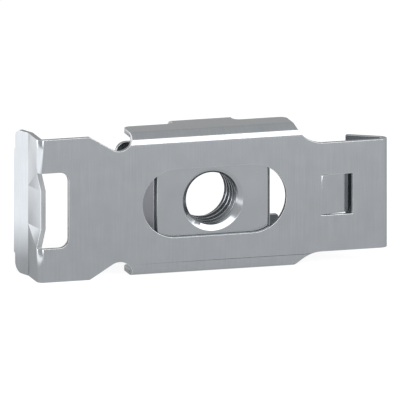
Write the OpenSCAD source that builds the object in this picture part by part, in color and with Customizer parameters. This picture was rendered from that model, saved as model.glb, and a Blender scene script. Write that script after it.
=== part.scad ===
// Rack cage nut: a clip bent from one strip of spring steel, which carries a loose square nut
// behind an oblong window. The origin is the middle of the nut's thread, with the nut at the
// middle of its travel. X runs along the clip, the screw comes from -Y, and +Z is up, with the
// clip standing on its long lower edge.

/* [Nut] */
// Width of the square nut across its flats
nut_w = 11.4; // [9:0.1:14]
// Thickness of the nut
nut_t = 5.2; // [4:0.1:7]
// Bevel along every edge of the nut
nut_bevel = 0.3; // [0.1:0.05:0.6]
// Minor diameter of the thread, which is the bore's wall
thread_minor_d = 5; // [3.2:0.1:5.4]
// Diameter at the mouths of the bore's two chamfers
chamfer_mouth_d = 6; // [5.6:0.1:7]
// Full angle of those chamfers
chamfer_angle = 120; // [80:5:130]

/* [Room for the nut] */
// Play between the plate and the nut
nut_front_gap = 0.12; // [0.05:0.01:0.4]
// Play between the nut and the retaining lips
nut_back_gap = 0.15; // [0.05:0.01:0.4]
// Play between the nut and the flanges above and below it
nut_side_gap = 0.7; // [0.3:0.05:1.2]

/* [Strip] */
// Thickness of the spring-steel strip
strip_t = 0.5; // [0.3:0.05:0.6]
// From the thread's axis to the outside of the left end wall
left_l = 17.3; // [15.5:0.1:22]
// From the thread's axis to the outside of the hem at the right end
right_l = 17.1; // [15:0.1:22]

/* [Window] */
// Length of the oblong window
window_l = 14.1; // [8:0.1:15.5]
// Height of the oblong window
window_h = 6.6; // [6:0.1:9]

/* [Flanges and retaining lips] */
// Length of the two folded flanges
flange_l = 16; // [13:0.1:17]
// Depth of the flanges behind the plate's face
flange_d = 3.65; // [2.6:0.05:4]
// Inner radius of the bend between the plate and a flange
flange_bend_r = 0.7; // [0.3:0.05:0.9]
// Radius of the flanges' back corners
flange_corner_r = 0.7; // [0.3:0.05:1.5]
// Width of the neck that joins a flange to its lip
neck_w = 5.9; // [4:0.1:8]
// Radius of the fillets at the neck's root
neck_root_r = 0.7; // [0.3:0.05:0.9]
// Inner radius of the bend between the neck and the lip
neck_bend_r = 1.4; // [0.8:0.05:1.7]
// Length of the two T-shaped lips
lip_l = 15.9; // [13:0.1:17]
// Height of a lip
lip_h = 1.8; // [1.2:0.05:2.2]
// Gap between the upper and the lower lip, which the screw's end passes
lip_gap = 6.1; // [6:0.1:7.4]
// Radius of a lip's corners next to the flange
lip_outer_r = 1; // [0.3:0.05:1.2]
// Radius of a lip's corners next to the gap
lip_inner_r = 0.2; // [0.1:0.05:0.5]

/* [Left relief notches] */
// Depth of a notch below the clip's long edge
notch_depth = 1.55; // [1.2:0.05:2]
// Radius of the notch's round bottom
notch_r = 1.3; // [1:0.05:2]
// Slope of the notch's straight side
notch_angle = 31; // [25:1:60]

/* [Left end] */
// Inner radius of the bend between the plate and the end wall
end_bend_r = 0.1; // [0.05:0.05:0.5]
// Depth of the end wall behind the plate's face
wall_d = 3.45; // [2.6:0.05:4.4]
// Outward slant of the flared lip
flare_angle = 20; // [5:1:40]
// Length of the flared lip
flare_l = 2.1; // [1.4:0.05:3]
// Inner radius of the bend between the end wall and the flared lip
flare_bend_r = 0.15; // [0.05:0.05:0.5]
// Radius of the flared lip's upper corner
flare_upper_r = 0.65; // [0.2:0.05:1.2]
// Radius of the flared lip's lower corner
flare_lower_r = 1.05; // [0.2:0.05:1.3]
// How far the middle of the flared lip stands past its ends
flare_step = 0.19; // [0.05:0.01:0.3]
// Height of that middle stretch
flare_step_h = 9.9; // [6:0.1:11]
// Width of the slot beside the end wall
slot_w = 2.5; // [1.5:0.1:3]
// Height of that slot
slot_h = 7.3; // [5:0.1:9]
// Radius of the slot's corners
slot_corner_r = 0.9; // [0.2:0.05:1.2]
// Height of the flat middle of the dent in the end wall
dent_h = 3.7; // [2:0.1:5]
// Depth of the dent at the wall's free edge
dent_depth = 0.42; // [0.1:0.02:0.8]

/* [Tail and hem] */
// Height of the tail
tail_h = 10.5; // [8:0.1:12.4]
// How far the tail's middle lies above the thread's axis
tail_shift = -0.3; // [-0.5:0.05:0.5]
// Radius of the sweep from the flange's end down to the tail
relief_r = 2.9; // [2.2:0.05:3.5]
// Inner radius of the hem's fold
hem_bend_r = 0.3; // [0.1:0.05:0.5]
// Angle between the tail and the folded leaf
hem_angle = 30; // [15:1:50]
// Length of the folded leaf
hem_l = 3.3; // [2:0.1:3.8]

/* [Pressed tongue] */
// From the thread's axis to the tongue's hinge
tongue_x = 10.45; // [9.6:0.05:11.2]
// Length of the opening that the tongue leaves
tongue_opening_l = 3.1; // [2.4:0.05:3.8]
// Height of that opening
tongue_opening_h = 3.9; // [2.5:0.1:5]
// How far the opening's middle lies above the thread's axis
tongue_shift = -0.1; // [-0.5:0.05:0.5]
// Slant of the tongue towards the back
tongue_angle = 15; // [8:1:40]
// Length of the tongue's straight part
tongue_l = 2.85; // [1.8:0.05:3]
// Inner radius of the bend at the tongue's hinge
tongue_bend_r = 0.3; // [0.1:0.05:0.6]
// Gap between the tongue's sides and the opening
tongue_gap = 0.05; // [0.03:0.01:0.15]

/* [Hidden] */
$fn = 96;
// How far a cut runs past the surface that it opens, and a length beyond the whole part
over = 1;
far = 60;
// How far a straight stretch reaches into the round one that it runs on from, so that they join
seam = 0.0002;

// Heights above the thread's axis
half_h = nut_w / 2 + nut_side_gap + strip_t;
flange_bend_z = half_h - flange_bend_r - strip_t;
neck_z = half_h - strip_t - neck_bend_r;
notch_z = half_h - notch_depth + notch_r;

// Depths behind the plate's front face
flange_bend_y = flange_bend_r + strip_t;
end_bend_y = end_bend_r + strip_t;
lip_y = strip_t + nut_front_gap + nut_t + nut_back_gap;
neck_y = lip_y - neck_bend_r;

// The plate's front face in the part's own frame
face_y = -(strip_t + nut_front_gap + nut_t / 2);

// Places along the clip
wall_x = -left_l;
slot_x = wall_x + strip_t + slot_w;
notch_x = -flange_l / 2 - notch_r;
hem_x = right_l - hem_bend_r - strip_t;

chamfer_depth = (chamfer_mouth_d - thread_minor_d) / 2 / tan(chamfer_angle / 2);

// An outline in X and Y, drawn out upwards
module upright(z0, z1) translate([0, 0, z0]) linear_extrude(z1 - z0) children();

// An outline in X and Z, given its thickness along Y
module facing(y0, y1) translate([0, y1, 0]) rotate([90, 0, 0]) linear_extrude(y1 - y0) children();

// An outline in Y and Z, drawn out along X
module lengthwise(x0, x1) translate([x0, 0, 0]) rotate([90, 0, 90]) linear_extrude(x1 - x0) children();

// The strip's section where it bends round the origin, from angle a0 to angle a1
module bend(inner_r, a0, a1) {
    outer_r = inner_r + strip_t;
    intersection() {
        difference() {
            circle(outer_r);
            circle(inner_r);
        }
        polygon([[0, 0], for (a = [a0, (a0 + a1) / 2, a1]) 2 * outer_r * [cos(a), sin(a)]]);
    }
}

// The strip's section where it runs straight on for a length after a bend that ends at angle a
module after_bend(inner_r, a, length) {
    rotate(a) translate([inner_r, -seam]) square([strip_t, length + seam]);
}

// What a convex corner at the origin loses when it is rounded, with the body towards -X and -Y
module corner_cut(r) {
    difference() {
        translate([-r, -r]) square(r + over);
        translate([-r, -r]) circle(r);
    }
}

// What fills a concave corner at the origin, with the body all round but for +X and +Y
module corner_fill(r) {
    difference() {
        square(r);
        translate([r, r]) circle(r);
    }
}

module window_outline() {
    square([window_l - window_h, window_h], center = true);
    for (side = [-1, 1]) translate([side * (window_l - window_h) / 2, 0]) circle(d = window_h);
}

// The slot runs on through the end bend, so that the end wall has a free front edge
module slot_outline() {
    difference() {
        translate([wall_x - over, -slot_h / 2]) square([slot_x - wall_x + over, slot_h]);
        translate([slot_x, slot_h / 2]) corner_cut(slot_corner_r);
        mirror([0, 1]) translate([slot_x, slot_h / 2]) corner_cut(slot_corner_r);
    }
}

// The upper notch on the left: a straight side that runs down into a round bottom
module notch_outline() {
    foot = [notch_x, notch_z] - (notch_r - seam) * [sin(notch_angle), cos(notch_angle)];
    rise = half_h + over - foot.y;
    translate([notch_x, notch_z]) circle(notch_r);
    polygon([
        [notch_x + notch_r, half_h + over], [notch_x + notch_r, notch_z], [notch_x, notch_z],
        foot, foot + [-rise / tan(notch_angle), rise]
    ]);
}

// What the strip loses above the tail, whose edge lies that high, with a sweep up to the flange
module relief_outline(edge) {
    centre_z = edge + relief_r;
    centre_x = flange_l / 2 + sqrt(pow(relief_r, 2) - pow(centre_z - half_h, 2));
    translate([centre_x, centre_z]) circle(relief_r);
    translate([centre_x, edge]) square(far);
    translate([centre_x - relief_r, centre_z]) square(far);
}

// Everything that shapes the strip's long edges, above and below
module edge_cuts() {
    for (below = [0, 1]) mirror([0, below]) {
        notch_outline();
        relief_outline(tail_h / 2 + (below ? -tail_shift : tail_shift));
    }
}

// The flat front, short of its bends
module front_plate() {
    left_x = wall_x + end_bend_y;
    facing(0, strip_t) difference() {
        translate([left_x, -half_h]) square([hem_x - left_x, 2 * half_h]);
        for (below = [0, 1]) mirror([0, below]) translate([notch_x, flange_bend_z]) square(far);
    }
}

module flange_bend() {
    lengthwise(notch_x, right_l) translate([flange_bend_y, flange_bend_z]) bend(flange_bend_r, 90, 180);
}

module flange() {
    upright(half_h - strip_t, half_h) {
        difference() {
            translate([-flange_l / 2, flange_bend_y]) square([flange_l, flange_d - flange_bend_y]);
            for (left = [0, 1]) mirror([left, 0])
                translate([flange_l / 2, flange_d]) corner_cut(flange_corner_r);
        }
        translate([-neck_w / 2, flange_bend_y]) square([neck_w, neck_y - flange_bend_y]);
        for (left = [0, 1]) mirror([left, 0]) translate([neck_w / 2, flange_d]) corner_fill(neck_root_r);
    }
}

module neck_bend() {
    lengthwise(-neck_w / 2, neck_w / 2) translate([neck_y, neck_z]) bend(neck_bend_r, 0, 90);
}

module retaining_lip() {
    lip_z = lip_gap / 2;
    facing(lip_y, lip_y + strip_t) {
        difference() {
            translate([-lip_l / 2, lip_z]) square([lip_l, lip_h]);
            for (left = [0, 1]) mirror([left, 0]) {
                translate([lip_l / 2, lip_z + lip_h]) corner_cut(lip_outer_r);
                translate([lip_l / 2, lip_z]) mirror([0, 1]) corner_cut(lip_inner_r);
            }
        }
        translate([-neck_w / 2, lip_z]) square([neck_w, neck_z - lip_z]);
    }
}

// The end wall with the bends before and after it
module end_wall() {
    upright(-half_h, half_h) {
        translate([wall_x + end_bend_y, end_bend_y]) bend(end_bend_r, 180, 270);
        translate([wall_x, end_bend_y]) square([strip_t, wall_d - end_bend_y]);
        translate([wall_x - flare_bend_r, wall_d]) bend(flare_bend_r, 0, flare_angle);
    }
}

module flared_lip() {
    start = [wall_x - flare_bend_r * (1 - cos(flare_angle)), wall_d + flare_bend_r * sin(flare_angle)];
    translate(start) rotate(90 + flare_angle) facing(-strip_t, 0) {
        difference() {
            translate([-seam, -half_h]) square([flare_l + seam, 2 * half_h]);
            translate([flare_l, half_h]) corner_cut(flare_upper_r);
            mirror([0, 1]) translate([flare_l, half_h]) corner_cut(flare_lower_r);
        }
        polygon([
            [0, -flare_step_h / 2 - flare_step], [flare_l, -flare_step_h / 2 - flare_step],
            [flare_l + flare_step, -flare_step_h / 2], [flare_l + flare_step, flare_step_h / 2],
            [flare_l, flare_step_h / 2 + flare_step], [0, flare_step_h / 2 + flare_step]
        ]);
    }
}

// What the dent presses inwards: a flat middle hinged on the wall's back bend, between two
// three-cornered facets that run out at the slot's ends
module dent() {
    polyhedron(
        points = [
            for (h = [dent_h, -dent_h]) [wall_x, wall_d, h / 2],
            for (h = [slot_h, -slot_h]) [wall_x, end_bend_y, h / 2],
            for (h = [dent_h, -dent_h]) [wall_x + dent_depth, end_bend_y, h / 2]
        ],
        faces = [[2, 3, 1, 0], [4, 5, 3, 2], [1, 5, 4, 0], [4, 2, 0], [1, 3, 5]]
    );
}

module hem() {
    upright(tail_shift - tail_h / 2, tail_shift + tail_h / 2) {
        translate([hem_x, hem_bend_r + strip_t]) {
            bend(hem_bend_r, -90, 90 - hem_angle);
            after_bend(hem_bend_r, 90 - hem_angle, hem_l);
        }
    }
}

module tongue() {
    half = tongue_opening_h / 2 - tongue_gap;
    upright(tongue_shift - half, tongue_shift + half) {
        translate([tongue_x, tongue_bend_r + strip_t]) {
            bend(tongue_bend_r, -90, tongue_angle - 90);
            after_bend(tongue_bend_r, tongue_angle - 90, tongue_l);
        }
    }
}

module tongue_opening_outline() {
    translate([tongue_x, tongue_shift - tongue_opening_h / 2]) square([tongue_opening_l, tongue_opening_h]);
}

module spring_cage() {
    color([0.6, 0.62, 0.64]) translate([0, face_y, 0]) {
        difference() {
            union() {
                front_plate();
                for (below = [0, 1]) mirror([0, 0, below]) flange_bend();
                end_wall();
            }
            facing(-over, flange_bend_y) edge_cuts();
            facing(-over, strip_t + over) window_outline();
            facing(-over, strip_t + over) tongue_opening_outline();
            facing(-over, end_bend_y) slot_outline();
            dent();
        }
        translate([strip_t, 0, 0]) dent();
        for (below = [0, 1]) mirror([0, 0, below]) {
            flange();
            neck_bend();
            retaining_lip();
        }
        flared_lip();
        hem();
        tongue();
    }
}

// A rectangle about the origin with its four corners bevelled
module bevelled(width, height) {
    difference() {
        square([width, height], center = true);
        for (x = [-width / 2, width / 2], y = [-height / 2, height / 2])
            translate([x, y]) rotate(45) square(nut_bevel * sqrt(2), center = true);
    }
}

module square_nut() {
    color([0.55, 0.57, 0.59]) difference() {
        intersection() {
            facing(-nut_t / 2, nut_t / 2) bevelled(nut_w, nut_w);
            upright(-nut_w / 2, nut_w / 2) bevelled(nut_w, nut_t);
            lengthwise(-nut_w / 2, nut_w / 2) bevelled(nut_t, nut_w);
        }
        rotate([90, 0, 0]) cylinder(d = thread_minor_d, h = nut_t + 2 * over, center = true);
        for (turn = [-90, 90]) rotate([turn, 0, 0]) translate([0, 0, nut_t / 2 - chamfer_depth])
            cylinder(
                h = chamfer_depth + over,
                r1 = thread_minor_d / 2,
                r2 = chamfer_mouth_d / 2 + over * tan(chamfer_angle / 2)
            );
    }
}

spring_cage();
square_nut();
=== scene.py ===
# The looks of the rack cage nut: a bevelled, plated spring-steel clip with a threaded square nut
# in it stands on a pale studio floor, lit by two soft lamps.
import math

import bmesh
import bpy
import numpy as np
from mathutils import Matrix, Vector
from mathutils.bvhtree import BVHTree


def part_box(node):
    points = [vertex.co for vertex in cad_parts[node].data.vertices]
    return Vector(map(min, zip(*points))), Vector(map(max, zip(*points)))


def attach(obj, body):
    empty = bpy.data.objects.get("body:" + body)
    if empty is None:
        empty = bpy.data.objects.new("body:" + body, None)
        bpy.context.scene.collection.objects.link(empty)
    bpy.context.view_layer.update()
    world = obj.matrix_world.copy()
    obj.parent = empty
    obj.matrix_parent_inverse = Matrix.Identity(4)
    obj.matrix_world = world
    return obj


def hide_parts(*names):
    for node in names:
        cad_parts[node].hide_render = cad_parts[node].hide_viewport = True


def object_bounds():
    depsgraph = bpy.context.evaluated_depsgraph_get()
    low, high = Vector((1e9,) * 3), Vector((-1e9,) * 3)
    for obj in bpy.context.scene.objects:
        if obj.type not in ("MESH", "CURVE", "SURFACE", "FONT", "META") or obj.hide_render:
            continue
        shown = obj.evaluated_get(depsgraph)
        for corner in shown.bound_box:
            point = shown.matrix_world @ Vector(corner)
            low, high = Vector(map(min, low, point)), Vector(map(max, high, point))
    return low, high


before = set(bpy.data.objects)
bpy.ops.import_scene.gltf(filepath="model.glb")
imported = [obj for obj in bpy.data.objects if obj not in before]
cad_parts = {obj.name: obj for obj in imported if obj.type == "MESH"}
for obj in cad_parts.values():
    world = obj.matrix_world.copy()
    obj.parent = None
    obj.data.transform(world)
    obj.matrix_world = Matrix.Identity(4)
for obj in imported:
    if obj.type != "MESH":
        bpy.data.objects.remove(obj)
cad_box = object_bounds()

MM = 0.001

# The strip and the nut, as the CAD model has them. The two bends are where the strip's map turns.
STRIP_T = 0.5 * MM
LEFT_BEND_X = -14.4 * MM
HEM_BEND_X = 13 * MM
NUT_BEVEL = 0.3 * MM
BORE_R = 2.5 * MM
MOUTH_R = 3.0 * MM
CHAMFER_ANGLE = 120

# What this script adds to them: rounded edges and the thread
CLIP_EDGE = 0.035 * MM
NUT_EDGE = 0.06 * MM
MOUTH_EDGE = 0.08 * MM
MOUTH_STEPS = 6
PITCH = 1.0 * MM
THREAD_DEPTH = 0.42 * MM
THREAD_STEPS = 128
THREAD_START = math.radians(120)

# Shading: the edges to break at, and the faint creases between flats wider than WIDE_FLAT
CLIP_SHARP = 40
NUT_SHARP = 35
WIDE_FLAT = 0.6 * MM
FAINT_CREASE = math.radians(3)

# How much of a mirror's full growth towards grazing angles the metals keep
GRAZING_TINT = 0.66

# The floor's glow at right and left of the stretch in which it rises
GLOW = 0.84
LEFT_GLOW = 2.5
GLOW_RISES_FROM = -23 * MM
GLOW_RISES_TO = -36 * MM
FLOOR_SIDE = 4

# Camera: the angle, and the picture's width and middle, right of and above the thread's middle
AZIMUTH = -15.9
ELEVATION = 12.8
VIEW_WIDTH = 37.74 * MM
VIEW_MIDDLE = Vector((-0.494 * MM, -0.59 * MM, 0))
CAMERA_DISTANCE = 0.2


# ---------------------------------------------------------------- meshes

def new_object(name, mesh):
    obj = bpy.data.objects.new(name, mesh)
    bpy.context.scene.collection.objects.link(obj)
    return obj


def object_from_bmesh(name, bm):
    mesh = bpy.data.meshes.new(name)
    bm.to_mesh(mesh)
    bm.free()
    return new_object(name, mesh)


def add_modifier(obj, kind, **settings):
    modifier = obj.modifiers.new(kind.lower(), kind)
    for key, value in settings.items():
        setattr(modifier, key, value)
    return modifier


def apply_modifiers(obj):
    """Replaces the object's mesh by what its modifiers make of it."""
    evaluated = obj.evaluated_get(bpy.context.evaluated_depsgraph_get())
    mesh = bpy.data.meshes.new_from_object(evaluated)
    obj.modifiers.clear()
    obj.data = mesh


def shade(obj, sharp_degrees):
    """Smooth shading that keeps flats flat and breaks at sharp edges, and at the faint creases
    between two wide flats, too."""
    obj.data.polygons.foreach_set("use_smooth", [True] * len(obj.data.polygons))
    obj.data.set_sharp_from_angle(angle=math.radians(sharp_degrees))
    bm = bmesh.new()
    bm.from_mesh(obj.data)
    wide = {face for face in bm.faces
            if face.calc_area() > WIDE_FLAT * max(edge.calc_length() for edge in face.edges)}
    for edge in bm.edges:
        if wide.issuperset(edge.link_faces) and edge.calc_face_angle(0) > FAINT_CREASE:
            edge.smooth = False
    bm.to_mesh(obj.data)
    bm.free()
    add_modifier(obj, "WEIGHTED_NORMAL", keep_sharp=True, weight=100)
    apply_modifiers(obj)


# ---------------------------------------------------------------- the clip

def mark_cut_faces(bm, cut_slot):
    """A face of the strip's own surface has the strip's thickness of steel behind it. Every
    other face was left by the press tool's cut, and takes the second material."""
    tree = BVHTree.FromBMesh(bm)
    skin, tolerance = 0.01 * STRIP_T, 0.12 * STRIP_T
    for face in bm.faces:
        centre, inward = face.calc_center_median(), -face.normal
        hit = tree.ray_cast(centre + inward * skin, inward)
        thickness = hit[3] + skin if hit[3] is not None else math.inf
        if abs(thickness - STRIP_T) > tolerance:
            face.material_index = cut_slot


def lay_strip_map(bm):
    """A UV map in millimetres that unrolls the strip, so that its grain runs on round the bends.
    It is one unit to a millimetre, and V runs along the grain."""
    layer = bm.loops.layers.uv.new("strip")
    front_y = cad_box[0].y
    for face in bm.faces:
        for loop in face.loops:
            x, y, z = loop.vert.co
            depth = y - front_y
            if x < LEFT_BEND_X:
                u, v = x - depth, z
            elif x > HEM_BEND_X:
                u, v = x + depth, z
            else:
                u, v = x, z + math.copysign(depth, z)
            loop[layer].uv = (u / MM, v / MM)


def make_clip():
    """The CAD node's own surface, welded, with its edges rounded as tumbling leaves them."""
    bm = bmesh.new()
    bm.from_mesh(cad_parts["spring_cage"].data)
    bmesh.ops.remove_doubles(bm, verts=bm.verts, dist=1e-7)
    for face in bm.faces:
        face.material_index = 0
    mark_cut_faces(bm, 1)
    bmesh.ops.dissolve_limit(bm, angle_limit=math.radians(0.3), verts=bm.verts, edges=bm.edges,
                             delimit={"MATERIAL"})
    clip = object_from_bmesh("spring_clip", bm)
    for material in (plated_steel(), sheared_edge(), edge_wear_and_painted_highlight()):
        clip.data.materials.append(material)
    # The bevels take the third material, whose lighter colour is partly rubbed wear and partly a
    # painted highlight along the edges.
    add_modifier(clip, "BEVEL", width=CLIP_EDGE, segments=2, limit_method="ANGLE",
                 angle_limit=math.radians(32), use_clamp_overlap=False, material=2)
    apply_modifiers(clip)
    bm = bmesh.new()
    bm.from_mesh(clip.data)
    lay_strip_map(bm)
    bm.to_mesh(clip.data)
    bm.free()
    shade(clip, CLIP_SHARP)
    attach(clip, "cage")
    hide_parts("spring_cage")
    return clip


# ---------------------------------------------------------------- the nut

def lathe(name, profile, steps):
    """A closed solid turned about Y from (radius, y) points that start and end on the axis."""
    bm = bmesh.new()
    rings = []
    for radius, y in profile[1:-1]:
        rings.append([bm.verts.new((radius * math.cos(a), y, radius * math.sin(a)))
                      for a in np.linspace(0, 2 * math.pi, steps, endpoint=False)])
    first, last = (bm.verts.new((0, profile[i][1], 0)) for i in (0, -1))
    for i in range(steps):
        j = (i + 1) % steps
        bm.faces.new((first, rings[0][j], rings[0][i]))
        bm.faces.new((last, rings[-1][i], rings[-1][j]))
        for a, b in zip(rings, rings[1:]):
            bm.faces.new((a[i], a[j], b[j], b[i]))
    bmesh.ops.recalc_face_normals(bm, faces=bm.faces)
    return object_from_bmesh(name, bm)


def thread_profile():
    """One pitch of the nut's thread as (share of the pitch, share of the depth) points: the
    crest's flat, a flank, the root's flat and the other flank, with their corners eased."""
    ease = 0.03
    corners = [(0.0, 0), (0.25, 0), (0.5625, 1), (0.6875, 1)]
    points = []
    for i, (at, depth) in enumerate(corners):
        before = corners[i - 1] if i else (corners[-1][0] - 1, corners[-1][1])
        after = corners[(i + 1) % 4] if i < 3 else (1.0, 0)
        for other in (before, after):
            share = ease / abs(other[0] - at)
            points.append((at + share * (other[0] - at), depth + share * (other[1] - depth)))
    return points


def make_tap(half_length):
    """A closed solid with the thread's helix round it, a little longer than the nut. Each
    column of vertices holds one pitch of the profile and joins on to the column a turn later."""
    bm = bmesh.new()
    profile = thread_profile()
    turns = math.ceil(2 * half_length / PITCH) + 1
    columns = []
    for step in range(THREAD_STEPS * turns + 1):
        angle = THREAD_START - 2 * math.pi * step / THREAD_STEPS
        base = PITCH * (step / THREAD_STEPS - (turns + 1) / 2)
        columns.append([])
        for at, depth in profile:
            radius = BORE_R + THREAD_DEPTH * depth
            co = (radius * math.cos(angle), base + at * PITCH, radius * math.sin(angle))
            columns[-1].append(bm.verts.new(co))
    for step in range(THREAD_STEPS * (turns - 1)):
        here, there = columns[step], columns[step + 1]
        far_here, far_there = columns[step + THREAD_STEPS], columns[step + THREAD_STEPS + 1]
        a, b = here + far_here[:1], there + far_there[:1]
        for k in range(len(profile)):
            bm.faces.new((a[k], b[k], b[k + 1], a[k + 1]))
    last = THREAD_STEPS * (turns - 1)
    for column in columns[last + THREAD_STEPS + 1:]:
        for vert in column:
            bm.verts.remove(vert)
    for column in columns[last + 1:last + THREAD_STEPS + 1]:
        for vert in column[1:]:
            bm.verts.remove(vert)
    start = [columns[i][0] for i in range(THREAD_STEPS + 1)] + columns[0][:0:-1]
    end = [columns[last + i][0] for i in range(THREAD_STEPS + 1)] + columns[last][:0:-1]
    for loop, side in ((start, -1), (end, 1)):
        apex = bm.verts.new((0, side * PITCH * (turns + 2) / 2, 0))
        for a, b in zip(loop, loop[1:] + loop[:1]):
            bm.faces.new((a, b, apex))
    bmesh.ops.recalc_face_normals(bm, faces=bm.faces)
    return object_from_bmesh("tap", bm)


def chamfer_cutter(face_y):
    """What a countersink takes off one mouth of the bore, with the mouth's own edge rounded."""
    side = math.copysign(1, face_y)
    turn = math.radians(90 - CHAMFER_ANGLE / 2)
    reach = MOUTH_EDGE * math.tan(turn / 2)
    tip_r, clear = 0.3 * BORE_R, 0.2 * MM
    tip_y = face_y - side * (MOUTH_R - tip_r) * math.tan(turn)
    profile = [(0, tip_y), (tip_r, tip_y)]
    for a in np.linspace(turn, 0, MOUTH_STEPS):
        drop = MOUTH_EDGE * (1 - math.cos(a))
        profile.append((MOUTH_R + reach - MOUTH_EDGE * math.sin(a), face_y - side * drop))
    profile += [(MOUTH_R + clear, face_y + side * clear), (0, face_y + side * clear)]
    return lathe("chamfer", profile, THREAD_STEPS)


def cut(obj, cutter):
    add_modifier(obj, "BOOLEAN", operation="DIFFERENCE", object=cutter, solver="EXACT")
    apply_modifiers(obj)
    bpy.data.objects.remove(cutter)


def make_nut():
    """A square blank with chamfered edges, countersunk on both sides and tapped."""
    low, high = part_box("square_nut")
    bm = bmesh.new()
    bmesh.ops.create_cube(bm, size=1)
    for vert in bm.verts:
        vert.co = [lo if co < 0 else hi for co, lo, hi in zip(vert.co, low, high)]
    nut = object_from_bmesh("threaded_nut", bm)
    add_modifier(nut, "BEVEL", width=NUT_BEVEL, segments=1, limit_method="ANGLE")
    apply_modifiers(nut)
    add_modifier(nut, "BEVEL", width=NUT_EDGE, segments=2, limit_method="ANGLE",
                 angle_limit=math.radians(20))
    apply_modifiers(nut)
    cut(nut, make_tap((high.y - low.y) / 2))
    cut(nut, chamfer_cutter(low.y))
    cut(nut, chamfer_cutter(high.y))
    nut.data.materials.clear()
    for material in (machined_steel(), darker_side_steel()):
        nut.data.materials.append(material)
    for face in nut.data.polygons:
        face.material_index = int(max(abs(face.normal.x), abs(face.normal.z)) > 0.99)
    shade(nut, NUT_SHARP)
    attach(nut, "nut")
    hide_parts("square_nut")
    return nut


# ---------------------------------------------------------------- materials

def new_material(name):
    """A metal whose reflection grows only a little towards grazing angles."""
    material = bpy.data.materials.new(name)
    material.use_nodes = True
    nodes = material.node_tree.nodes
    shader = nodes["Principled BSDF"]
    shader.inputs["Metallic"].default_value = 1
    shader.inputs["Specular Tint"].default_value = (GRAZING_TINT, GRAZING_TINT, GRAZING_TINT, 1)
    return material, nodes, material.node_tree.links, shader


def noise(nodes, links, vector, scale, detail, stretch=(1, 1, 1)):
    """A noise pattern on a vector, drawn out along the axes whose stretch is below 1."""
    mapping = nodes.new("ShaderNodeMapping")
    mapping.inputs["Scale"].default_value = stretch
    texture = nodes.new("ShaderNodeTexNoise")
    texture.inputs["Scale"].default_value = scale
    texture.inputs["Detail"].default_value = detail
    links.new(vector, mapping.inputs["Vector"])
    links.new(mapping.outputs["Vector"], texture.inputs["Vector"])
    return texture.outputs["Fac"]


def between(nodes, links, factor, low, high, near=0.3, far=0.7):
    """The factor's range near to far, mapped to low to high."""
    node = nodes.new("ShaderNodeMapRange")
    node.inputs["From Min"].default_value = near
    node.inputs["From Max"].default_value = far
    node.inputs["To Min"].default_value = low
    node.inputs["To Max"].default_value = high
    links.new(factor, node.inputs["Value"])
    return node.outputs["Result"]


def mix_colours(nodes, links, factor, dark, light):
    node = nodes.new("ShaderNodeMix")
    node.data_type = "RGBA"
    node.inputs["A"].default_value = (*dark, 1)
    node.inputs["B"].default_value = (*light, 1)
    links.new(factor, node.inputs["Factor"])
    return node.outputs["Result"]


def bump(nodes, links, height, shader, strength, distance):
    node = nodes.new("ShaderNodeBump")
    node.inputs["Strength"].default_value = strength
    node.inputs["Distance"].default_value = distance
    links.new(height, node.inputs["Height"])
    links.new(node.outputs["Normal"], shader.inputs["Normal"])


def strip_steel(name, dark, light, rough, grain_strength):
    """Plated spring strip: rolling grain along V, a cloudy tone and a roughness that follows."""
    material, nodes, links, shader = new_material(name)
    uv = nodes.new("ShaderNodeUVMap")
    uv.uv_map = "strip"
    grain = noise(nodes, links, uv.outputs["UV"], 7, 4, (1, 0.03, 1))
    cloud = noise(nodes, links, uv.outputs["UV"], 0.5, 3)
    tone = nodes.new("ShaderNodeMath")
    tone.operation = "ADD"
    links.new(between(nodes, links, grain, 0, 0.55), tone.inputs[0])
    links.new(between(nodes, links, cloud, 0, 0.45), tone.inputs[1])
    links.new(mix_colours(nodes, links, tone.outputs[0], dark, light), shader.inputs["Base Color"])
    links.new(between(nodes, links, cloud, rough - 0.03, rough + 0.03), shader.inputs["Roughness"])
    bump(nodes, links, grain, shader, grain_strength, 0.004 * MM)
    return material


def plated_steel():
    return strip_steel("plated_steel", (0.27, 0.285, 0.3), (0.305, 0.322, 0.338), 0.14, 0.2)


def sheared_edge():
    """The cut edges: darker, and rough across the strip's thickness."""
    return strip_steel("sheared_edge", (0.24, 0.25, 0.26), (0.32, 0.33, 0.34), 0.35, 0.8)


def edge_wear_and_painted_highlight():
    """The rounded edges, lighter than the strip: partly rubbed wear, partly a painted highlight
    along the edges.
    """
    return strip_steel("edge_wear_and_painted_highlight", (0.4, 0.415, 0.43), (0.5, 0.51, 0.52), 0.22, 0.3)


def nut_steel(name, dark, light, rough):
    """Plated machined steel with a faint cloudiness and a fine grain."""
    material, nodes, links, shader = new_material(name)
    place = nodes.new("ShaderNodeTexCoord").outputs["Object"]
    cloud = noise(nodes, links, place, 350, 4)
    grain = noise(nodes, links, place, 9000, 2)
    links.new(mix_colours(nodes, links, cloud, dark, light), shader.inputs["Base Color"])
    links.new(between(nodes, links, cloud, rough - 0.04, rough + 0.04), shader.inputs["Roughness"])
    bump(nodes, links, grain, shader, 0.15, 0.003 * MM)
    return material


def machined_steel():
    return nut_steel("machined_steel", (0.26, 0.275, 0.29), (0.3, 0.315, 0.33), 0.18)


def darker_side_steel():
    """The nut's four sides: darker and duller than its faces."""
    return nut_steel("darker_side_steel", (0.13, 0.135, 0.155), (0.19, 0.195, 0.215), 0.42)


def seen_directly_or_mirrored(nodes, links):
    """1 on camera, glossy and transmission rays, 0 on the rest."""
    path = nodes.new("ShaderNodeLightPath")
    total = path.outputs["Is Camera Ray"]
    for ray in ("Is Glossy Ray", "Is Transmission Ray"):
        highest = nodes.new("ShaderNodeMath")
        highest.operation = "MAXIMUM"
        links.new(total, highest.inputs[0])
        links.new(path.outputs[ray], highest.inputs[1])
        total = highest.outputs[0]
    return total


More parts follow.
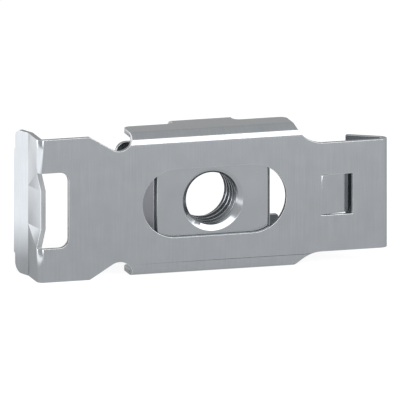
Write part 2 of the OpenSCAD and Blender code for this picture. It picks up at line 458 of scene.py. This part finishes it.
def floor_paint():
    """Matt white, with a glow that only the eye and mirrors see, so that shadows still show. The
    glow rises to the left, beyond the picture, for the clip's bent end to mirror."""
    material = bpy.data.materials.new("floor_paint")
    material.use_nodes = True
    nodes, links = material.node_tree.nodes, material.node_tree.links
    shader = nodes["Principled BSDF"]
    shader.inputs["Base Color"].default_value = (0.35, 0.35, 0.35, 1)
    shader.inputs["Roughness"].default_value = 1
    shader.inputs["Specular IOR Level"].default_value = 0
    shader.inputs["Emission Color"].default_value = (1, 1, 1, 1)
    split = nodes.new("ShaderNodeSeparateXYZ")
    links.new(nodes.new("ShaderNodeNewGeometry").outputs["Position"], split.inputs[0])
    glow = between(nodes, links, split.outputs["X"], GLOW, LEFT_GLOW, GLOW_RISES_FROM, GLOW_RISES_TO)
    seen = nodes.new("ShaderNodeMath")
    seen.operation = "MULTIPLY"
    links.new(glow, seen.inputs[0])
    links.new(seen_directly_or_mirrored(nodes, links), seen.inputs[1])
    links.new(seen.outputs[0], shader.inputs["Emission Strength"])
    return material


# ---------------------------------------------------------------- studio

def make_world():
    world = bpy.data.worlds.new("studio")
    world.use_nodes = True
    nodes, links = world.node_tree.nodes, world.node_tree.links
    background = nodes["Background"]
    background.inputs["Color"].default_value = (1, 1, 1, 1)
    links.new(between(nodes, links, seen_directly_or_mirrored(nodes, links), 0.35, 1, 0, 1),
              background.inputs["Strength"])
    bpy.context.scene.world = world


def make_floor():
    bm = bmesh.new()
    bmesh.ops.create_grid(bm, x_segments=1, y_segments=1, size=FLOOR_SIDE / 2)
    floor = object_from_bmesh("floor", bm)
    floor.location.z = cad_box[0].z
    floor.data.materials.append(floor_paint())


def soft_lamp(name, place, target, width, height, radiance):
    """A rectangular soft box of an even radiance, turned to the target."""
    data = bpy.data.lights.new(name, "AREA")
    data.shape = "RECTANGLE"
    data.size, data.size_y = width, height
    data.energy = radiance * math.pi * width * height
    lamp = new_object(name, data)
    lamp.location = place
    lamp.rotation_euler = (Vector(target) - Vector(place)).to_track_quat("-Z", "Y").to_euler()
    return lamp


def make_lamps():
    soft_lamp("front", (0.045, -0.155, 0.078), (0, 0, 0), 0.3, 0.14, 3.4)
    soft_lamp("left_behind", (-0.16, 0.12, 0.03), (0, 0, 0), 0.14, 0.08, 3)


def make_camera():
    a, e = math.radians(AZIMUTH), math.radians(ELEVATION)
    back = Vector((math.sin(a) * math.cos(e), -math.cos(a) * math.cos(e), math.sin(e)))
    turn = (-back).to_track_quat("-Z", "Y")
    data = bpy.data.cameras.new("camera")
    data.type = "ORTHO"
    data.ortho_scale = VIEW_WIDTH
    data.clip_start, data.clip_end = 0.01, 10
    camera = new_object("camera", data)
    camera.rotation_mode = "QUATERNION"
    camera.rotation_quaternion = turn
    camera.location = turn @ VIEW_MIDDLE + back * CAMERA_DISTANCE
    bpy.context.scene.camera = camera


make_camera()
make_world()
make_floor()
make_lamps()
make_clip()
make_nut()
bpy.context.scene.view_settings.view_transform = "Standard"
